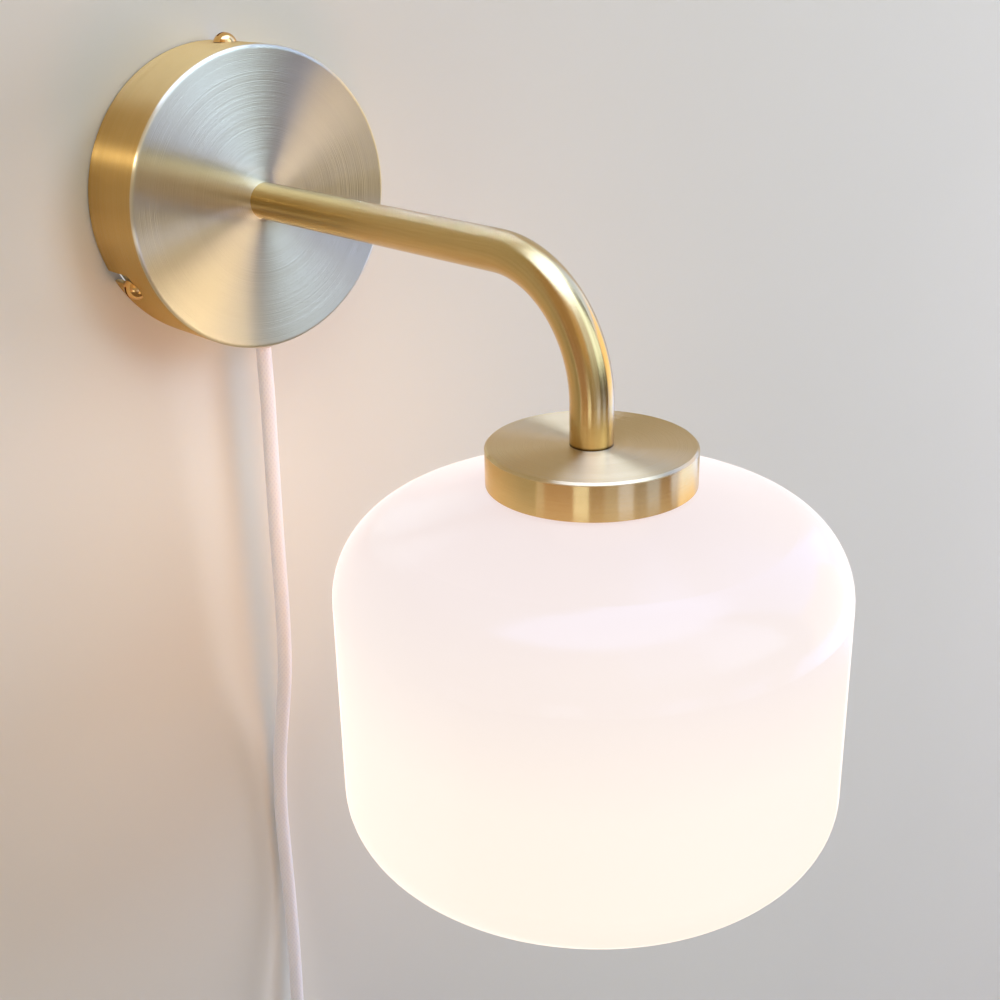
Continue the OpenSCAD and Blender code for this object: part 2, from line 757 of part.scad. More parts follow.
// Flat box with round corners between two limits each way
module rounded_box(low_x, high_x, low_y, high_y, r) {
    translate([low_x + r, low_y]) square([high_x - low_x - 2 * r, high_y - low_y]);
    translate([low_x, low_y + r]) square([high_x - low_x, high_y - low_y - 2 * r]);
    for (x = [low_x + r, high_x - r], y = [low_y + r, high_y - r]) translate([x, y]) circle(r = r);
}

// What the switch's two shells share: boot sockets and screw holes
module switch_cuts() {
    for (side = [-1, 1]) translate([0, side * (switch_l / 2 - boot_root), 0]) rotate([-90 * side, 0, 0])
        cylinder(r = boot_r + thread_gap, h = switch_l);
    for (p = switch_screws_at) translate([p[0], p[1], -switch_t]) {
        cylinder(r = switch_screw_r + thread_gap, h = switch_t / 2 + switch_screw_l);
        cylinder(r = switch_screw_head_r + thread_gap, h = switch_t / 2 + switch_screw_head_h + 0.2);
    }
}

// Back shell of the cord switch
module switch_base() {
    color("white") at_switch() difference() {
        pill(switch_w, switch_l, switch_t, switch_edge_r);
        switch_cuts();
        translate([-switch_w, -switch_l, switch_split]) cube([2 * switch_w, 2 * switch_l, switch_t]);
    }
}

// Front shell of the cord switch, with the rocker's pocket and pin bores
module switch_cover() {
    color("white") at_switch() difference() {
        pill(switch_w, switch_l, switch_t, switch_edge_r);
        switch_cuts();
        translate([-switch_w, -switch_l, switch_split - switch_t])
            cube([2 * switch_w, 2 * switch_l, switch_t]);
        translate([-pocket_w / 2, -pocket_l / 2, switch_split - 1]) cube([pocket_w, pocket_l, switch_t]);
        translate([-pocket_w / 2 - rocker_pin_l, 0, rocker_pivot]) rotate([0, 90, 0])
            cylinder(r = rocker_pin_r + part_gap, h = pocket_w + 2 * rocker_pin_l);
    }
}

// Rocker on its pin, at rest with its upper end pressed in
module switch_rocker() {
    half = rocker_l / 2;
    color("whitesmoke") at_switch() translate([0, 0, rocker_pivot]) rotate([-rocker_swing / 2, 0, 0]) {
        translate([-rocker_w / 2, 0, 0]) rotate([90, 0, 90]) linear_extrude(rocker_w)
            polygon([[-half, rocker_rise], [0, rocker_rise - rocker_dip], [half, rocker_rise],
                [half - 0.6, -rocker_depth], [0.6 - half, -rocker_depth]]);
        translate([-rocker_w / 2 - rocker_pin_l + 0.5, 0, 0]) rotate([0, 90, 0])
            cylinder(r = rocker_pin_r, h = rocker_w + 2 * rocker_pin_l - 1);
    }
}

// Tapered boots where the cord meets the switch
module switch_boots() {
    color("white") at_switch() for (side = [-1, 1])
        translate([0, side * (switch_l / 2 - boot_root), 0]) rotate([-90 * side, 0, 0]) {
            cylinder(r = boot_r, h = boot_root);
            translate([0, 0, boot_root]) cylinder(r1 = boot_r, r2 = boot_end_r, h = boot_h);
        }
}

module switch_screws() {
    color("silver") at_switch() for (p = switch_screws_at) translate([p[0], p[1], -switch_t / 2]) {
        cylinder(r = switch_screw_head_r, h = switch_screw_head_h);
        cylinder(r = switch_screw_r, h = switch_screw_l - 0.5);
    }
}

// Places what is drawn down from the plug's cord end
module at_plug(down) {
    translate([cord_x, coil_front, plug_top - down]) children();
}

// Flat two-pin plug, waisted towards its cord
module plug_body() {
    flat = plug_w / 2 - plug_t / 2;
    color("white") at_plug(plug_boot_l + plug_l) difference() {
        intersection() {
            linear_extrude(plug_l) {
                square([2 * flat, plug_t], center = true);
                for (side = [-1, 1]) translate([side * flat, 0]) circle(d = plug_t);
            }
            translate([0, plug_t, 0]) rotate([90, 0, 0]) linear_extrude(2 * plug_t)
                polygon([[-plug_w / 2, 0], [plug_w / 2, 0], [plug_w / 2, plug_shoulder],
                    [plug_neck_w / 2, plug_l], [-plug_neck_w / 2, plug_l], [-plug_w / 2, plug_shoulder]]);
        }
        for (side = [-1, 1]) translate([side * pin_spacing / 2, 0, -1])
            cylinder(r = pin_core_r + part_gap, h = pin_root + 1 + part_gap);
    }
}

// Ribbed strain relief on the plug's cord end
module plug_boot() {
    pitch = plug_boot_l / plug_ribs;
    color("white") at_plug(plug_boot_l) rotate_extrude() {
        polygon([[0, 0], [plug_boot_r - 0.9, 0], [plug_boot_end_r - 0.6, plug_boot_l], [0, plug_boot_l]]);
        for (i = [0 : plug_ribs - 1]) {
            r = plug_boot_r - (plug_boot_r - plug_boot_end_r) * i / (plug_ribs - 1);
            translate([0, i * pitch]) square([r, pitch * 0.6]);
        }
    }
}

// Two round pins with thinner roots
module plug_pins() {
    color("silver") at_plug(plug_boot_l + plug_l) for (side = [-1, 1])
        translate([side * pin_spacing / 2, 0, 0]) rotate_extrude()
            polygon([[0, pin_root], [pin_core_r, pin_root], [pin_core_r, -sleeve_l], [pin_r, -sleeve_l],
                [pin_r, 0.8 - pin_l], [pin_r - 0.8, -pin_l], [0, -pin_l]]);
}

// Insulating sleeves on the pins' roots
module pin_sleeves() {
    color("dimgray") at_plug(plug_boot_l + plug_l) for (side = [-1, 1])
        translate([side * pin_spacing / 2, 0, 0]) ring(sleeve_r, pin_core_r + part_gap, -sleeve_l, 0);
}

wall_bracket();
wall_cup();
cup_screws();
arm_nipple();
arm_washer();
arm_nut();
terminal_block();
terminal_screws();
cord_gland();
gland_nut();
gland_screw();
cord_tail();
mains_cores();
arm_tube();
lamp_lead();
lead_cores();
cap_nipple();
shade_cap();
cap_nut();
shade_collar();
shade_gasket();
shade();
holder_cap();
holder_body();
holder_insert();
holder_contact();
bulb_screw_cap();
bulb_insulator();
bulb_contact();
bulb_housing();
bulb_globe();
power_cord();
cord_link();
cord_coil();
cord_tie();
switch_base();
switch_cover();
switch_rocker();
switch_boots();
switch_screws();
plug_body();
plug_boot();
plug_pins();
pin_sleeves();
echo("Least gap of the coil to itself, mm", least_gap(coil_path, cord_d, coil_rings / 2));
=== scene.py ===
import json
import math
from collections import namedtuple

import bpy
from mathutils import Matrix, Vector


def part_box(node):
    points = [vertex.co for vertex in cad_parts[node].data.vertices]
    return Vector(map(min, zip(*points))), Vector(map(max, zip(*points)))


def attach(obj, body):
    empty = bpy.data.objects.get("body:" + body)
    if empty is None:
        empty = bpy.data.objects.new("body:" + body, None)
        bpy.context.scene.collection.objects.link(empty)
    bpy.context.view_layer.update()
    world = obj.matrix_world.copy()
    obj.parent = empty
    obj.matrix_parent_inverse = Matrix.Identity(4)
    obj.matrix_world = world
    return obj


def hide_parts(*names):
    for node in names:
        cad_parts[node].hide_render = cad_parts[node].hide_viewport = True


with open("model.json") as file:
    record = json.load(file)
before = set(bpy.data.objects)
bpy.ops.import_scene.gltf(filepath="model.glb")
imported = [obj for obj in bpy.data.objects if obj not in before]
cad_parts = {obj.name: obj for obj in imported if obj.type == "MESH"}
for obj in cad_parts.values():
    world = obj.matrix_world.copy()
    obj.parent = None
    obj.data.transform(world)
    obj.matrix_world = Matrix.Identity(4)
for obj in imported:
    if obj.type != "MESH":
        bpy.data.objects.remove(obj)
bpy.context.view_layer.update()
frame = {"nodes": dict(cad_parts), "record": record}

NODES = frame["nodes"]
SCENE = bpy.context.scene
SCENE.view_settings.view_transform = "Standard"


# Camera, at the photograph's place and angle

CAMERA_AT = (-0.29318, -0.47274, 0.09517)
CAMERA_YAW, CAMERA_PITCH, CAMERA_ROLL = 42.573, 22.379, -1.21
CAMERA_LENS, CAMERA_SENSOR = 51.12, 36
CAMERA_NEAR, CAMERA_FAR = 0.01, 50


def make_camera():
    yaw, pitch, roll = (math.radians(a) for a in (CAMERA_YAW, CAMERA_PITCH, CAMERA_ROLL))
    ahead = Vector((math.sin(yaw) * math.cos(pitch), math.cos(yaw) * math.cos(pitch), -math.sin(pitch)))
    right = Vector((math.cos(yaw), -math.sin(yaw), 0))
    up = right.cross(ahead)
    tilted_right = right * math.cos(roll) + up * math.sin(roll)
    tilted_up = up * math.cos(roll) - right * math.sin(roll)
    data = bpy.data.cameras.new("camera")
    data.sensor_width = CAMERA_SENSOR
    data.lens = CAMERA_LENS
    data.clip_start = CAMERA_NEAR
    data.clip_end = CAMERA_FAR
    cam = bpy.data.objects.new("camera", data)
    SCENE.collection.objects.link(cam)
    turn = Matrix((tilted_right, tilted_up, -ahead)).transposed().to_4x4()
    cam.matrix_world = Matrix.Translation(CAMERA_AT) @ turn
    SCENE.camera = cam


make_camera()


# Cord, on the route of the solids, whose points are in millimetres

CORD_D = 0.006
MM_PER_M = 1000
PLUG_X = -6
ROUTE = [(0, -20, -57), (0, -20, -66), (0, -20, -78), (0, -19.5, -92), (0, -19, -107),
         (0, -18.5, -122), (0, -18, -138), (0, -17.8, -154), (0, -17.5, -170), (0, -16.7, -186),
         (0, -15.3, -201), (0, -12.4, -216), (0, -9, -231), (-0.2, -6, -246), (-0.5, -4.2, -262),
         (-1, -3.6, -278), (-1, -3.5, -294), (-1, -3.7, -310), (-1.4, -4.5, -326), (-2.4, -6, -342),
         (-3.8, -7.8, -358), (-5.2, -9.3, -374), (-6, -10, -387), (-6, -10, -396)]
LINK = [(-6, -10, -472), (-6, -10, -479), (-6, -9.2, -486), (-6, -7.4, -493), (-6, -5.7, -500),
        (-6, -4.9, -507), (-6, -4.8, -514), (-6, -4.8, -520), (-6, -4.8, -526)]
COIL_X, COIL_Z, COIL_R, COIL_STEP, COIL_TURNS = 40, -532, 46, 6.5, 7
COIL_BACK, COIL_FRONT, COIL_TAIL = -4.8, -11.3, 12
COIL_CLIMB, COIL_POINTS = 0.5, 48
UPPER_PARTS, LOWER_PARTS = 8, 2
UPPER_SIDES, LOWER_SIDES = 20, 16
SEAM_SIDE = (1, 0.2, 0.1)


def ease(t):
    t = min(max(t, 0), 1)
    return t * t * (3 - 2 * t)


def coil_point(u):
    """The coil after u turns: inwards at the back, forwards over part of a turn, outwards at the front."""
    r = COIL_R - COIL_STEP * min(u, COIL_TURNS - u)
    a = math.radians(180 + 360 * u)
    climb = ease((u - COIL_TURNS / 2) / COIL_CLIMB + 0.5)
    y = COIL_BACK + (COIL_FRONT - COIL_BACK) * climb
    return (COIL_X + r * math.cos(a), y, COIL_Z + r * math.sin(a))


def smooth_line(points, parts):
    """A line through the points, in metres, with parts between each two."""
    p = [Vector(q) / MM_PER_M for q in points]
    p = [2 * p[0] - p[1], *p, 2 * p[-1] - p[-2]]
    line = []
    for a, b, c, d in zip(p, p[1:], p[2:], p[3:]):
        for k in range(parts):
            t = k / parts
            line.append(0.5 * (2 * b + (c - a) * t + (2 * a - 5 * b + 4 * c - d) * t ** 2
                               + (3 * b - a - 3 * c + d) * t ** 3))
    return [*line, p[-2]]


def tube(name, line, radius, sides):
    """A closed tube with its length in metres along V and once round along U."""
    verts, faces, uvs = [], [], []
    side, run = Vector(SEAM_SIDE), 0.0
    count = len(line)
    for i, p in enumerate(line):
        ahead = (line[min(i + 1, count - 1)] - line[max(i - 1, 0)]).normalized()
        side = (side - ahead * side.dot(ahead)).normalized()
        other = ahead.cross(side)
        run += (p - line[i - 1]).length if i else 0
        for k in range(sides):
            a = 2 * math.pi * k / sides
            verts.append(p + (side * math.cos(a) + other * math.sin(a)) * radius)
        if i:
            for k in range(sides):
                k2 = (k + 1) % sides
                low, high = (i - 1) * sides, i * sides
                faces.append((low + k, low + k2, high + k2, high + k))
                u, u2 = k / sides, (k + 1) / sides
                uvs.append([(u, last), (u2, last), (u2, run), (u, run)])
        last = run
    faces.append(tuple(reversed(range(sides))))
    faces.append(tuple(range((count - 1) * sides, count * sides)))
    uvs += [[(0, 0)] * sides, [(0, run)] * sides]
    mesh = bpy.data.meshes.new(name)
    mesh.from_pydata(verts, [], faces)
    layer = mesh.uv_layers.new(name="UVMap")
    for poly, corners in zip(mesh.polygons, uvs):
        poly.use_smooth = len(poly.vertices) == 4
        for loop, uv in zip(poly.loop_indices, corners):
            layer.data[loop].uv = uv
    obj = bpy.data.objects.new(name, mesh)
    SCENE.collection.objects.link(obj)
    return obj


COIL = [coil_point(i / COIL_POINTS) for i in range(COIL_POINTS * COIL_TURNS + 1)]
TAIL = [(PLUG_X, COIL_FRONT, COIL_Z - COIL_TAIL / 2), (PLUG_X, COIL_FRONT, COIL_Z - COIL_TAIL)]
UPPER = smooth_line(ROUTE, UPPER_PARTS)
LOWER = smooth_line(LINK + COIL + TAIL, LOWER_PARTS)
upper_cord = tube("flex_upper", UPPER, CORD_D / 2, UPPER_SIDES)
lower_cord = tube("flex_lower", LOWER, CORD_D / 2, LOWER_SIDES)
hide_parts("power_cord")
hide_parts("cord_link", "cord_coil")
CORDS = (upper_cord, lower_cord)
for cord_piece in CORDS:
    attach(cord_piece, "lamp")
SWITCH = ["switch_base", "switch_cover", "switch_rocker", "switch_boots", "switch_screws"]
PLUG = ["plug_body", "plug_boot", "plug_pins", "pin_sleeves"]


# Nodes, with the numbers of the Mix node's colour sockets

MIX_FIRST, MIX_SECOND, MIX_RESULT = 6, 7, 2


class Nodes:
    """A node tree with short ways to add nodes."""

    def __init__(self, tree):
        self.tree = tree

    def node(self, kind, **settings):
        n = self.tree.nodes.new(kind)
        for key, value in settings.items():
            if hasattr(n, key):
                setattr(n, key, value)
            else:
                n.inputs[key.replace("_", " ")].default_value = value
        return n

    def link(self, out, into):
        self.tree.links.new(out, into)

    def split(self, vector):
        n = self.node("ShaderNodeSeparateXYZ")
        self.link(vector, n.inputs[0])
        return n.outputs

    def join(self, x, y, z):
        n = self.node("ShaderNodeCombineXYZ")
        for value, socket in zip((x, y, z), n.inputs):
            self.set(value, socket)
        return n.outputs[0]

    def set(self, value, socket):
        if isinstance(value, (int, float)):
            socket.default_value = value
        else:
            self.link(value, socket)

    def math(self, operation, *values):
        n = self.node("ShaderNodeMath", operation=operation)
        for value, socket in zip(values, n.inputs):
            self.set(value, socket)
        return n.outputs[0]

    def between(self, factor, low, high, start=0.0, end=1.0, ease=False):
        """The factor's way from start to end, as a value from low to high."""
        n = self.node("ShaderNodeMapRange")
        n.interpolation_type = "SMOOTHSTEP" if ease else "LINEAR"
        for socket, value in zip(("From Min", "From Max", "To Min", "To Max"), (start, end, low, high)):
            n.inputs[socket].default_value = value
        self.link(factor, n.inputs["Value"])
        return n.outputs[0]

    def noise(self, vector, scale, detail=3.0, rough=0.55):
        n = self.node("ShaderNodeTexNoise", Scale=scale, Detail=detail, Roughness=rough)
        self.link(vector, n.inputs["Vector"])
        return n.outputs["Fac"]

    def noise_1d(self, w, scale, detail=3.0, rough=0.55):
        n = self.node("ShaderNodeTexNoise", noise_dimensions="1D",
                      Scale=scale, Detail=detail, Roughness=rough)
        self.link(w, n.inputs["W"])
        return n.outputs["Fac"]

    def ramp(self, factor, *stops):
        n = self.node("ShaderNodeValToRGB")
        while len(n.color_ramp.elements) < len(stops):
            n.color_ramp.elements.new(0.5)
        for e, (at, colour) in zip(n.color_ramp.elements, stops):
            e.position = at
            e.color = (*colour, 1)
        self.link(factor, n.inputs["Fac"])
        return n.outputs["Color"]

    def mix(self, factor, first, second):
        n = self.node("ShaderNodeMix", data_type="RGBA")
        self.link(factor, n.inputs["Factor"])
        for value, socket in ((first, n.inputs[MIX_FIRST]), (second, n.inputs[MIX_SECOND])):
            if isinstance(value, tuple):
                socket.default_value = (*value, 1)
            else:
                self.link(value, socket)
        return n.outputs[MIX_RESULT]


class Paint(Nodes):
    """One node material."""

    def __init__(self, name, **sockets):
        self.mat = bpy.data.materials.new(name)
        self.mat.use_nodes = True
        super().__init__(self.mat.node_tree)
        self.bsdf = self.tree.nodes["Principled BSDF"]
        for key, value in sockets.items():
            self.bsdf.inputs[key.replace("_", " ")].default_value = value

    def to(self, out, socket):
        self.link(out, self.bsdf.inputs[socket])

    def place(self):
        return self.node("ShaderNodeTexCoord").outputs["Object"]

    def bump(self, height, strength, distance):
        n = self.node("ShaderNodeBump", Strength=strength, Distance=distance)
        self.link(height, n.inputs["Height"])
        self.to(n.outputs[0], "Normal")

    def vector(self, operation, *values):
        n = self.node("ShaderNodeVectorMath", operation=operation)
        for value, socket in zip(values, n.inputs):
            self.link(value, socket)
        return n.outputs["Vector"]

    def over(self, shader, share):
        """Lays another shader over the material, by a share."""
        mix = self.node("ShaderNodeMixShader")
        self.link(share, mix.inputs[0])
        self.link(self.bsdf.outputs[0], mix.inputs[1])
        self.link(shader.outputs[0], mix.inputs[2])
        self.link(mix.outputs[0], self.tree.nodes["Material Output"].inputs["Surface"])

    def normal(self):
        return self.node("ShaderNodeNewGeometry").outputs["Normal"]

    def comb(self, across, grooves, depth):
        """Tilts the normal to both sides of fine grooves, along a direction that crosses them."""
        tilt = self.node("ShaderNodeVectorMath", operation="SCALE")
        self.link(across, tilt.inputs[0])
        self.link(self.math("MULTIPLY", self.between(grooves, -1, 1), depth), tilt.inputs["Scale"])
        tilted = self.vector("ADD", self.normal(), tilt.outputs[0])
        self.to(self.vector("NORMALIZE", tilted), "Normal")

    def blend(self, first, second, share):
        """Two factors added, the second with a share of the whole."""
        return self.math("ADD", self.math("MULTIPLY", first, 1 - share), self.math("MULTIPLY", second, share))


# Materials: lengths in metres, noise scales per metre, the weave in radians per metre

Finish = namedtuple("Finish", "light dark rough comb")
EDGE_SIDE, EDGE_FACE = (0.94, 0.86, 0.72), (1.0, 1.0, 1.0)
NOISE_LOW, NOISE_HIGH = 0.25, 0.75
STREAK_STRETCH = 0.03
# Painted shadow: a dark band on the arm just above the cap's top, where the tube meets the cap.
FOOT_SHADOW_START, FOOT_SHADOW_END = 0.0004, 0.0010
FOOT_SHADOW_COLOUR = (0.10, 0.06, 0.02)
BRAID_STRANDS, BRAID_PITCH = 12, 0.0026
CLOTH_WEAVE = 9000
OPAL_CLOUD = 0.06
OPAL_BODY = ((0.0, (0.30, 0.29, 0.28)), (1.0, (0.30, 0.29, 0.30)))
OPAL_LIGHT = ((0.0, (0.94, 0.81, 0.70)), (0.4, (0.91, 0.80, 0.71)),
              (0.75, (0.80, 0.70, 0.67)), (1.0, (0.69, 0.59, 0.61)))
FROST_BODY = ((0.3, (0.9, 0.85, 0.76)), (0.7, (0.95, 0.91, 0.84)))
FROST_LIGHT = ((0.3, (1.0, 0.86, 0.62)), (0.7, (1.0, 0.92, 0.74)))


def turned_brass(name, side, face, face_from, face_to, axis, centre):
    """Brass turned on a lathe: fine rings round the axis, which draw reflections out across them.
    Side and face have a finish each, and the change lies between two places along the axis."""
    p = Paint(name, Metallic=1.0, Anisotropic=1.0, Anisotropic_Rotation=0.25)
    at = p.place()
    x, y, z = p.split(at)
    a, b, along = (x, z, y) if axis == "Y" else (x, y, z)
    a, b = p.math("SUBTRACT", a, centre[0]), p.math("SUBTRACT", b, centre[1])
    radius = p.math("SQRT", p.math("ADD", p.math("MULTIPLY", a, a), p.math("MULTIPLY", b, b)))
    on_face = p.between(along, 0.0, 1.0, face_from, face_to)
    reach = p.math("ADD", radius, along)
    fine = p.noise_1d(reach, scale=4500, detail=3, rough=0.6)
    wide = p.noise_1d(reach, scale=260, detail=3, rough=0.6)
    marks = p.blend(fine, wide, share=0.4)
    tone = p.blend(marks, p.noise(at, scale=35), share=0.25)
    tones = [p.ramp(tone, (NOISE_LOW, finish.dark), (NOISE_HIGH, finish.light)) for finish in (side, face)]
    p.to(p.mix(on_face, *tones), "Base Color")
    p.to(p.mix(on_face, EDGE_SIDE, EDGE_FACE), "Specular Tint")
    rough = p.between(on_face, side.rough, face.rough)
    uneven = p.between(marks, low=0.88, high=1.12, start=NOISE_LOW, end=NOISE_HIGH)
    p.to(p.math("MULTIPLY", rough, uneven), "Roughness")
    p.to(p.node("ShaderNodeTangent", direction_type="RADIAL", axis=axis).outputs[0], "Tangent")
    round_x, round_b = p.math("DIVIDE", b, p.math("MULTIPLY", radius, -1)), p.math("DIVIDE", a, radius)
    round_about = p.join(round_x, 0, round_b) if axis == "Y" else p.join(round_x, round_b, 0)
    across = p.vector("CROSS_PRODUCT", p.normal(), round_about)
    p.comb(across, fine, depth=p.between(on_face, side.comb, face.comb))
    return p.mat


def drawn_brass(name, finish, bend_y, bend_z, bend_r, foot):
    """Brass tube, bent: fine streaks along it, and a painted shadow at its foot, a dark line where it meets
    the cap.
    """
    p = Paint(name, Metallic=1.0, Anisotropic=0.8)
    at = p.place()
    x, y, z = p.split(at)
    out = p.math("MINIMUM", p.math("SUBTRACT", y, bend_y), 0)
    up = p.math("MAXIMUM", p.math("SUBTRACT", z, bend_z), 0)
    side = p.math("SQRT", p.math("ADD", p.math("MULTIPLY", out, out), p.math("MULTIPLY", up, up)))
    along = p.vector("NORMALIZE", p.join(0, p.math("MULTIPLY", up, -1), out))
    p.to(along, "Tangent")
    run = p.math("MULTIPLY", p.math("SUBTRACT", z, y), STREAK_STRETCH)
    laid_out = p.join(x, p.math("SUBTRACT", side, bend_r), run)
    streaks = p.noise(laid_out, scale=1500, detail=4, rough=0.65)
    both = p.blend(streaks, p.noise(at, scale=45), share=0.3)
    tone = p.ramp(both, (NOISE_LOW, finish.dark), (NOISE_HIGH, finish.light))
    # Painted shadow line at the tube's foot, just above the cap's top.
    past_foot_shadow = p.between(z, 0.0, 1.0, foot + FOOT_SHADOW_START, foot + FOOT_SHADOW_END)
    p.to(p.mix(past_foot_shadow, FOOT_SHADOW_COLOUR, tone), "Base Color")
    rough = p.between(both, low=finish.rough * 0.85, high=finish.rough * 1.15,
                      start=NOISE_LOW, end=NOISE_HIGH)
    p.to(rough, "Roughness")
    p.comb(along, p.noise(at, scale=9000, detail=2), depth=finish.comb)
    return p.mat


def plain_brass(name, light, dark, rough):
    """Machined or polished brass with a faint grain."""
    p = Paint(name, Metallic=1.0)
    at = p.place()
    both = p.blend(p.noise(at, scale=900, detail=4, rough=0.7), p.noise(at, scale=60), share=0.4)
    p.to(p.ramp(both, (NOISE_LOW, dark), (NOISE_HIGH, light)), "Base Color")
    p.to(p.between(both, low=rough * 0.8, high=rough * 1.2, start=NOISE_LOW, end=NOISE_HIGH), "Roughness")
    p.bump(both, strength=0.02, distance=0.0002)
    return p.mat


def plastic(name, light, dark, rough, grain=1400, coat=0.0):
    """Moulded plastic with a faint grain."""
    p = Paint(name, Coat_Weight=coat, Coat_Roughness=0.2)
    at = p.place()
    fine, broad = p.noise(at, scale=grain, detail=2), p.noise(at, scale=60, detail=3)
    p.to(p.ramp(broad, (0.3, dark), (0.7, light)), "Base Color")
    p.to(p.between(fine, low=rough * 0.85, high=rough * 1.15), "Roughness")
    p.bump(fine, strength=0.06, distance=0.0002)
    return p.mat


def steel(name, light, dark, rough):
    """Plated steel with a spangle."""
    p = Paint(name, Metallic=1.0)
    at = p.place()
    flake = p.node("ShaderNodeTexVoronoi", Scale=350)
    p.link(at, flake.inputs["Vector"])
    cloud = p.noise(at, scale=120, detail=4)
    both = p.blend(flake.outputs["Distance"], cloud, share=0.5)
    p.to(p.ramp(both, (0.2, dark), (0.7, light)), "Base Color")
    p.to(p.between(cloud, low=rough * 0.8, high=rough * 1.25), "Roughness")
    p.bump(cloud, strength=0.04, distance=0.0002)
    return p.mat


def braid(name, light, dark):
    """Braided textile: two crossing sets of strands round the cord."""
    p = Paint(name, Roughness=0.85, Sheen_Weight=0.25, Sheen_Roughness=0.5)
    u, v, _ = p.split(p.node("ShaderNodeTexCoord").outputs["UV"])
    turns = p.math("MULTIPLY", u, BRAID_STRANDS * 2 * math.pi)
    climb = p.math("MULTIPLY", v, 2 * math.pi / BRAID_PITCH)
    right = p.math("SINE", p.math("ADD", turns, climb))
    left = p.math("SINE", p.math("SUBTRACT", turns, climb))
    over = p.between(p.math("MAXIMUM", right, left), 0.0, 1.0, -1.0, 1.0)
    yarn = p.noise(p.place(), scale=2500, detail=3)
    both = p.blend(over, yarn, share=0.6)
    p.to(p.ramp(both, (0.2, dark), (0.75, light)), "Base Color")
    p.bump(both, strength=0.35, distance=0.0004)
    return p.mat


def cloth(name, light, dark):
    """Woven strap."""
    p = Paint(name, Roughness=0.9, Sheen_Weight=0.2)
    x, y, z = p.split(p.place())
    warp = p.math("SINE", p.math("MULTIPLY", x, CLOTH_WEAVE))
    weft = p.math("SINE", p.math("MULTIPLY", p.math("ADD", y, z), CLOTH_WEAVE))
    weave = p.between(p.math("MULTIPLY", warp, weft), 0.0, 1.0, -1.0, 1.0)
    p.to(p.ramp(weave, (0.2, dark), (0.8, light)), "Base Color")
    p.bump(weave, strength=0.2, distance=0.0003)
    return p.mat


def opal(name, low, high):
    """Lit opal glass: glossy, cooler near the cap and warm by the bulb."""
    p = Paint(name, Roughness=0.16, IOR=1.45, Specular_IOR_Level=0.17, Emission_Strength=1.0)
    at = p.place()
    _, _, z = p.split(at)
    height = p.between(z, 0.0, 1.0, low, high)
    mixed = p.math("ADD", height, p.between(p.noise(at, scale=9, detail=2), -OPAL_CLOUD, OPAL_CLOUD))
    p.to(p.ramp(mixed, *OPAL_BODY), "Base Color")
    p.to(p.ramp(mixed, *OPAL_LIGHT), "Emission Color")
    return p.mat


def frosted(name):
    """Lit frosted bulb."""
    p = Paint(name, Roughness=0.4, Emission_Strength=1.0)
    cloud = p.noise(p.place(), scale=40, detail=2)
    p.to(p.ramp(cloud, *FROST_BODY), "Base Color")
    p.to(p.ramp(cloud, *FROST_LIGHT), "Emission Color")
    return p.mat


BEND_R, REACH = 0.040, 0.195
SHADE_LOW, SHADE_HIGH = (corner.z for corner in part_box("shade"))
CUP_FACE, CAP_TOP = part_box("wall_cup")[0].y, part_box("shade_cap")[1].z
FACE_START, FACE_END = 0.0012, 0.0008
CUP_EDGE = (CUP_FACE + FACE_START, CUP_FACE + FACE_END)
CAP_EDGE = (CAP_TOP - FACE_START, CAP_TOP - FACE_END)
# The cup's side is a deeper brass and its face a paler one. This is partly their finishes, and partly painted
# shade on the side, where it reflects the shadowed wall. It is also partly painted reflection on the face,
# where it shows the lit shade.
CUP_SIDE_SHADED_FINISH = Finish(light=(0.72, 0.47, 0.16), dark=(0.62, 0.38, 0.11), rough=0.34, comb=0.9)
CUP_FRONT_LIT_FINISH = Finish(light=(0.84, 0.73, 0.47), dark=(0.75, 0.64, 0.39), rough=0.32, comb=0.7)
CAP_SIDE = Finish(light=(0.73, 0.51, 0.21), dark=(0.63, 0.42, 0.15), rough=0.20, comb=0.15)
CAP_UPPER = Finish(light=(0.72, 0.53, 0.26), dark=(0.64, 0.45, 0.20), rough=0.34, comb=0.9)
ARM_SKIN = Finish(light=(0.67, 0.46, 0.175), dark=(0.53, 0.345, 0.115), rough=0.21, comb=0.2)
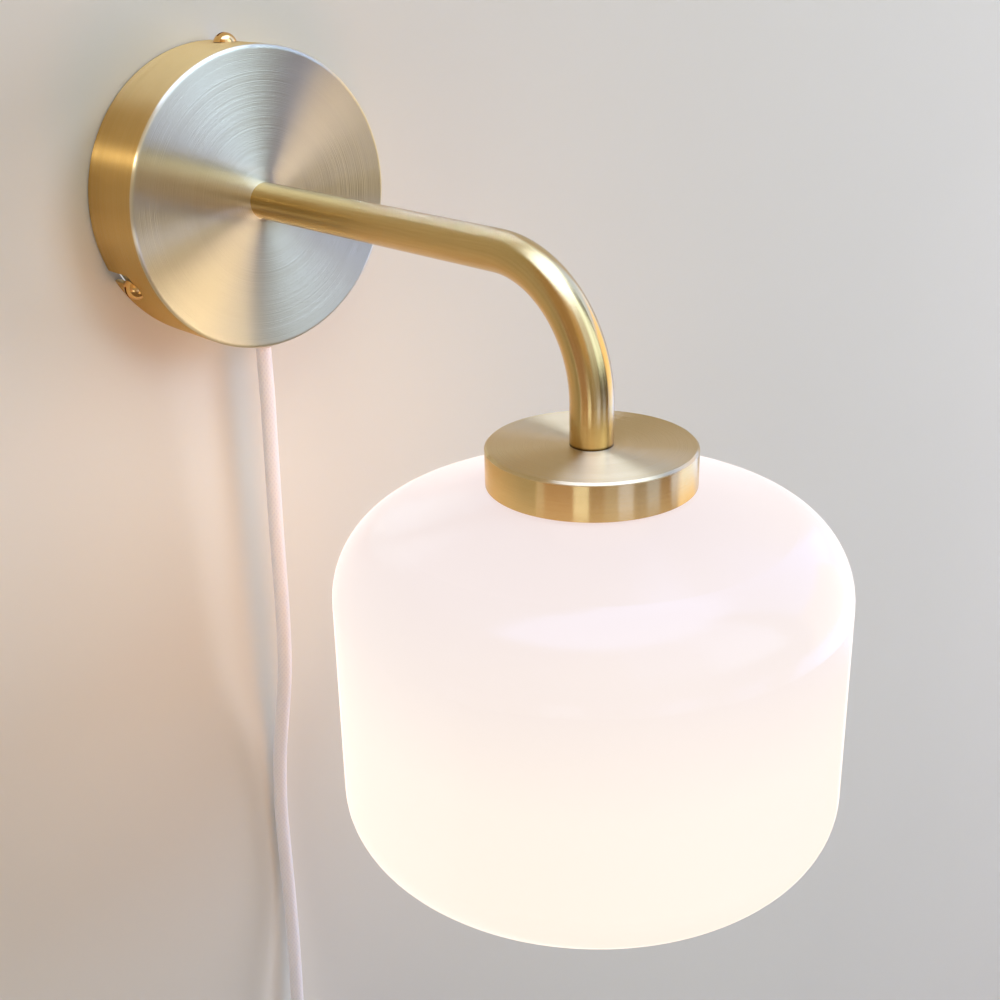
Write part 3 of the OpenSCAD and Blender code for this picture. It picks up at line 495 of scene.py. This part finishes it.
MATERIALS = {
    # The cup's side and face tones carry painted shade and painted reflection.
    "cup_brass": turned_brass("turned_cup", CUP_SIDE_SHADED_FINISH, CUP_FRONT_LIT_FINISH, *CUP_EDGE, "Y", (0, 0)),
    "arm_brass": drawn_brass("drawn_arm", ARM_SKIN, BEND_R - REACH, -BEND_R, BEND_R, CAP_TOP),
    "cap_brass": turned_brass("turned_cap", CAP_SIDE, CAP_UPPER, *CAP_EDGE, "Z", (0, -REACH)),
    "screw_brass": plain_brass("polished_screw", (0.84, 0.50, 0.17), (0.74, 0.40, 0.11), rough=0.18),
    "fitting_brass": plain_brass("machined_fitting", (0.80, 0.66, 0.38), (0.68, 0.52, 0.28), rough=0.3),
    "zinc_steel": steel("zinc_steel", (0.74, 0.75, 0.77), (0.52, 0.53, 0.55), rough=0.38),
    "terminal_white": plastic("terminal_white", (0.88, 0.87, 0.84), (0.80, 0.79, 0.76), rough=0.5),
    "gland_plastic": plastic("gland_plastic", (0.84, 0.75, 0.73), (0.78, 0.69, 0.67), rough=0.45),
    "cord_textile": braid("cord_textile", (0.95, 0.92, 0.97), (0.87, 0.83, 0.92)),
    "core_plastic": plastic("core_plastic", (0.30, 0.17, 0.10), (0.22, 0.12, 0.07), rough=0.4),
    "lead_plastic": plastic("lead_plastic", (0.88, 0.87, 0.84), (0.82, 0.81, 0.78), rough=0.4),
    "collar_plastic": plastic("collar_plastic", (0.84, 0.82, 0.79), (0.76, 0.74, 0.71), rough=0.45),
    "gasket_rubber": plastic("gasket_rubber", (0.86, 0.85, 0.82), (0.80, 0.79, 0.76), rough=0.7),
    "opal_glass": opal("opal_glass", SHADE_LOW, SHADE_HIGH),
    "holder_plastic": plastic("holder_plastic", (0.90, 0.89, 0.86), (0.84, 0.83, 0.80), rough=0.4),
    "ceramic": plastic("ceramic", (0.88, 0.85, 0.78), (0.80, 0.77, 0.70), rough=0.6, grain=700),
    "bulb_metal": steel("bulb_metal", (0.80, 0.80, 0.79), (0.64, 0.64, 0.63), rough=0.3),
    "bulb_black": plastic("bulb_black", (0.05, 0.05, 0.05), (0.03, 0.03, 0.03), rough=0.2),
    "bulb_plastic": plastic("bulb_plastic", (0.92, 0.92, 0.90), (0.87, 0.87, 0.85), rough=0.4),
    "bulb_glass": frosted("bulb_glass"),
    "tie_fabric": cloth("tie_fabric", (0.10, 0.095, 0.095), (0.04, 0.038, 0.038)),
    "switch_plastic": plastic("switch_plastic", (0.88, 0.85, 0.83), (0.83, 0.80, 0.78), rough=0.32, coat=0.2),
    "rocker_plastic": plastic("rocker_plastic", (0.84, 0.80, 0.78), (0.79, 0.75, 0.73), rough=0.28, coat=0.2),
    "plug_plastic": plastic("plug_plastic", (0.88, 0.85, 0.83), (0.83, 0.80, 0.78), rough=0.42),
    "pin_metal": steel("pin_metal", (0.80, 0.71, 0.52), (0.70, 0.61, 0.43), rough=0.3),
    "sleeve_plastic": plastic("sleeve_plastic", (0.05, 0.05, 0.05), (0.03, 0.03, 0.03), rough=0.5),
}


def dress(obj, slot):
    obj.data.materials.clear()
    obj.data.materials.append(MATERIALS[slot])


for part in frame["record"]["subparts"]:
    dress(NODES[part["node"]], part["material_slot"])
for cord_piece in CORDS:
    dress(cord_piece, "cord_textile")


# Stage: a plain pale wall behind the lamp, open from its back and inside the cup, and a floor below

PALE = (0.80, 0.775, 0.73)
CUP_INSIDE = 0.052
PLASTER_SHADE = 0.985
WALL_Y, WALL_LEFT, WALL_RIGHT, WALL_TOP = 0.0005, -0.75, 0.85, 0.9
FLOOR_Z, FLOOR_HALF, FLOOR_SHARE = -1, 12, 0.75


def plaster(name, colour):
    p = Paint(name, Roughness=0.9)
    at = p.place()
    shaded = tuple(PLASTER_SHADE * c for c in colour)
    p.to(p.ramp(p.noise(at, scale=4, detail=2), (0.3, shaded), (0.7, colour)), "Base Color")
    p.bump(p.noise(at, scale=260, detail=3), strength=0.05, distance=0.0006)
    return p


def wall_material():
    p = plaster("pale_wall", PALE)
    x, _, z = p.split(p.place())
    apart = p.math("ADD", p.math("MULTIPLY", x, x), p.math("MULTIPLY", z, z))
    middle = p.math("LESS_THAN", apart, CUP_INSIDE ** 2)
    back = p.node("ShaderNodeNewGeometry").outputs["Backfacing"]
    p.over(p.node("ShaderNodeBsdfTransparent"), p.math("MAXIMUM", back, middle))
    return p.mat


def floor_material():
    p = plaster("pale_floor", PALE)
    seen = p.node("ShaderNodeLightPath").outputs["Is Camera Ray"]
    p.over(p.node("ShaderNodeEmission", Color=(*PALE, 1)), p.math("MULTIPLY", seen, FLOOR_SHARE))
    return p.mat


def sheet(name, corners, material, in_gloss):
    mesh = bpy.data.meshes.new(name)
    mesh.from_pydata(corners, [], [(0, 1, 2, 3)])
    mesh.materials.append(material)
    obj = bpy.data.objects.new(name, mesh)
    obj.visible_glossy = in_gloss
    SCENE.collection.objects.link(obj)
    return obj


WALL_CORNERS = [(WALL_LEFT, WALL_Y, FLOOR_Z), (WALL_RIGHT, WALL_Y, FLOOR_Z),
                (WALL_RIGHT, WALL_Y, WALL_TOP), (WALL_LEFT, WALL_Y, WALL_TOP)]
FLOOR_CORNERS = [(x * FLOOR_HALF, y * FLOOR_HALF, FLOOR_Z) for x, y in ((-1, -1), (1, -1), (1, 1), (-1, 1))]
wall = sheet("wall", WALL_CORNERS, wall_material(), in_gloss=True)
sheet("floor", FLOOR_CORNERS, floor_material(), in_gloss=False)


# Light: soft panels, the bulb's glow, and boards round the studio that only glossy surfaces show

def add_lamp(name, kind, at, power, colour):
    data = bpy.data.lights.new(name, kind)
    data.energy = power
    data.color = colour
    lamp = bpy.data.objects.new(name, data)
    SCENE.collection.objects.link(lamp)
    lamp.location = at
    lamp.visible_glossy = False
    lamp.visible_camera = False
    return lamp


def panel(name, at, towards, size, power, colour):
    lamp = add_lamp(name, "AREA", at, power, colour)
    lamp.data.shape = "RECTANGLE"
    lamp.data.size, lamp.data.size_y = size
    lamp.rotation_euler = (Vector(towards) - Vector(at)).to_track_quat("-Z", "Y").to_euler()
    return lamp


def object_set(name, objects, state):
    """Some objects as a set for a lamp to include or leave out."""
    chosen = bpy.data.collections.new(name)
    for obj in objects:
        chosen.objects.link(obj)
    for entry in chosen.collection_objects:
        entry.light_linking.link_state = state
    return chosen


def pass_through(lamp, objects):
    """Lets a lamp's light go through some objects."""
    lamp.light_linking.blocker_collection = object_set(lamp.name + "_through", objects, "EXCLUDE")
    lamp.data.cycles.use_multiple_importance_sampling = False


def shine_on(lamp, objects, state):
    """Lets a lamp light only some objects, or all but some."""
    lamp.light_linking.receiver_collection = object_set(lamp.name + "_onto", objects, state)


def gloss_only(lamp, *names):
    """Lets a lamp show only as a reflection, on the named pieces."""
    shine_on(lamp, [NODES[n] for n in names], "INCLUDE")
    lamp.visible_glossy = True
    lamp.visible_diffuse = False


def glow(name, at, radius, power, colour):
    """A lamp inside the shade, whose light goes through shade and bulb."""
    lamp = add_lamp(name, "POINT", at, power, colour)
    lamp.data.shadow_soft_size = radius
    pass_through(lamp, [NODES[n] for n in ("shade", *BULB)])
    return lamp


CUP_MIDDLE, ARM_MIDDLE, AIM = (0, 0, 0), (0, -0.1, 0), (0, -0.1, -0.05)
COIL_PLACE, SHINE_X = (0, 0, -0.5), 0.03
SHADE_MIDDLE, SHADE_RIGHT = ((x, -REACH, (SHADE_LOW + SHADE_HIGH) / 2) for x in (0, SHINE_X))
NEUTRAL = (1.0, 1.0, 1.0)
BULB = ["bulb_globe", "bulb_housing", "bulb_screw_cap", "bulb_insulator", "bulb_contact"]
panel("key", (0.5, -1.3, 0.5), AIM, size=(0.6, 0.6), power=6.4, colour=(0.73, 0.85, 1.0))
side = panel("side", (1.6, -0.6, 0.0), AIM, size=(0.8, 1.0), power=13.5, colour=(0.96, 0.945, 1.0))
shine_on(side, [NODES["shade"]], "EXCLUDE")
panel("top", (-0.1, -0.9, 1.1), AIM, size=(1.0, 0.7), power=5, colour=(1.0, 0.96, 0.72))
panel("fill", (-1.3, -0.35, -0.2), AIM, size=(0.5, 0.8), power=3.2, colour=(0.95, 0.91, 0.74))
glow("bulb_glow", SHADE_MIDDLE, radius=0.05, power=0.5, colour=(1.0, 0.40, 0.05))
shine = glow("bulb_shine", SHADE_RIGHT, radius=0.06, power=0.2, colour=(1.0, 0.86, 0.74))
gloss_only(shine, "wall_cup", "arm_tube")
streak = panel("rim_streak", (-0.9, -0.08, 0.41), CUP_MIDDLE, size=(0.1, 0.1), power=1.5,
               colour=(1.0, 0.98, 0.95))
gloss_only(streak, "wall_cup")
sheen = panel("arm_sheen", (0.26, 0.58, 0.67), ARM_MIDDLE, size=(0.8, 0.8), power=3.2,
              colour=(0.33, 0.53, 1.0))
pass_through(sheen, [wall])
gloss_only(sheen, "arm_tube")
panel("back", (0.2, 1.0, 0.3), CUP_MIDDLE, size=(0.5, 0.5), power=6, colour=NEUTRAL)
back_low = panel("back_low", (0.2, 1.2, -0.2), COIL_PLACE, size=(0.5, 0.5), power=4, colour=NEUTRAL)
pass_through(back_low, [wall])
shine_on(back_low, [lower_cord, *(NODES[n] for n in SWITCH + PLUG + ["cord_tie"])], "INCLUDE")

# The boards, by their direction from the front in degrees, right positive: where each ends, and its colour.
# They stand in tiers. Each tier takes over between two heights of the direction, from -1 down to 1 up.
TAN, UMBER, DARK, BACK = (0.7, 0.5, 0.4), (0.48, 0.35, 0.34), (0.08, 0.055, 0.045), (0.8, 0.8, 0.8)
MILK, SKY, WHITE = (2.0, 2.3, 3.0), (1.2, 1.55, 3.3), (1.3, 1.9, 4.0)
BOARDS_BELOW = [(-112, BACK), (-97, (0.95, 1.0, 1.2)), (-65, TAN), (-49, MILK), (-33, UMBER),
                (-18, (0.7, 0.72, 1.0)), (-2, SKY), (14, (0.5, 0.5, 0.75)), (30, (0.8, 1.05, 2.2)),
                (46, UMBER), (62, SKY), (105, WHITE), (180, BACK)]
BOARDS_LEVEL = [(-105, BACK), (-60, UMBER), (0, (0.42, 0.42, 0.42)), (55, DARK), (92, (1.8, 1.6, 1.3)),
                (105, (0.8, 1.05, 1.8)), (180, BACK)]
BOARDS_ABOVE = [(-105, BACK), (-60, (0.5, 0.36, 0.24)), (-30, (0.77, 0.6, 0.4)), (5, (0.75, 0.95, 1.3)),
                (41, (1.75, 2.45, 3.7)), (55, DARK), (92, (2.0, 1.65, 1.25)), (105, WHITE), (180, BACK)]
BOARDS_HIGH = [*BOARDS_ABOVE[:3], (5, (1.0, 1.2, 1.9)), (41, (1.6, 2.25, 3.8)), (55, DARK),
               (105, (1.0, 1.5, 3.4)), (180, BACK)]
BOARDS_FLOOR, BOARDS_TOP = (0.20, 0.15, 0.11), (3.0, 4.2, 8.5)
BOARDS_TIERS = [(-0.48, -0.40, BOARDS_BELOW), (-0.27, -0.21, BOARDS_LEVEL), (0.08, 0.18, BOARDS_ABOVE),
                (0.29, 0.36, BOARDS_HIGH)]
TOP_START, TOP_END = 0.78, 0.88
BOARD_EDGE = 2.5
DIFFUSE_STRENGTH = 0.1


def round_ramp(nodes, around, bands):
    """Bands of colour round the studio, each given with the direction where it ends."""
    stops, start = [], -180
    for end, colour in bands:
        for turn in (start + BOARD_EDGE / 2, end - BOARD_EDGE / 2):
            stops.append(((turn + 180) / 360, colour))
        start = end
    return nodes.ramp(around, *stops)


def make_studio():
    """The world: pale to the camera, boards to glossy surfaces, and a weak pale light to all else."""
    world = bpy.data.worlds.new("studio")
    SCENE.world = world
    world.use_nodes = True
    world.cycles.sampling_method = "NONE"
    n = Nodes(world.node_tree)
    x, y, z = n.split(n.node("ShaderNodeTexCoord").outputs["Generated"])
    turn = n.math("ARCTAN2", x, n.math("MULTIPLY", y, -1))
    around = n.between(turn, 0.0, 1.0, -math.pi, math.pi)
    boards = BOARDS_FLOOR
    for start, end, bands in BOARDS_TIERS:
        boards = n.mix(n.between(z, 0.0, 1.0, start, end, ease=True), boards, round_ramp(n, around, bands))
    boards = n.mix(n.between(z, 0.0, 1.0, TOP_START, TOP_END, ease=True), boards, BOARDS_TOP)
    glossy = n.node("ShaderNodeBackground")
    n.link(boards, glossy.inputs["Color"])
    plain = n.tree.nodes["Background"]
    plain.inputs["Color"].default_value = (*PALE, 1)
    plain.inputs["Strength"].default_value = DIFFUSE_STRENGTH
    seen = n.node("ShaderNodeBackground", Color=(*PALE, 1))
    path = n.node("ShaderNodeLightPath")
    first, second = n.node("ShaderNodeMixShader"), n.node("ShaderNodeMixShader")
    n.link(path.outputs["Is Glossy Ray"], first.inputs[0])
    n.link(plain.outputs[0], first.inputs[1])
    n.link(glossy.outputs[0], first.inputs[2])
    n.link(path.outputs["Is Camera Ray"], second.inputs[0])
    n.link(first.outputs[0], second.inputs[1])
    n.link(seen.outputs[0], second.inputs[2])
    n.link(second.outputs[0], n.tree.nodes["World Output"].inputs["Surface"])


make_studio()
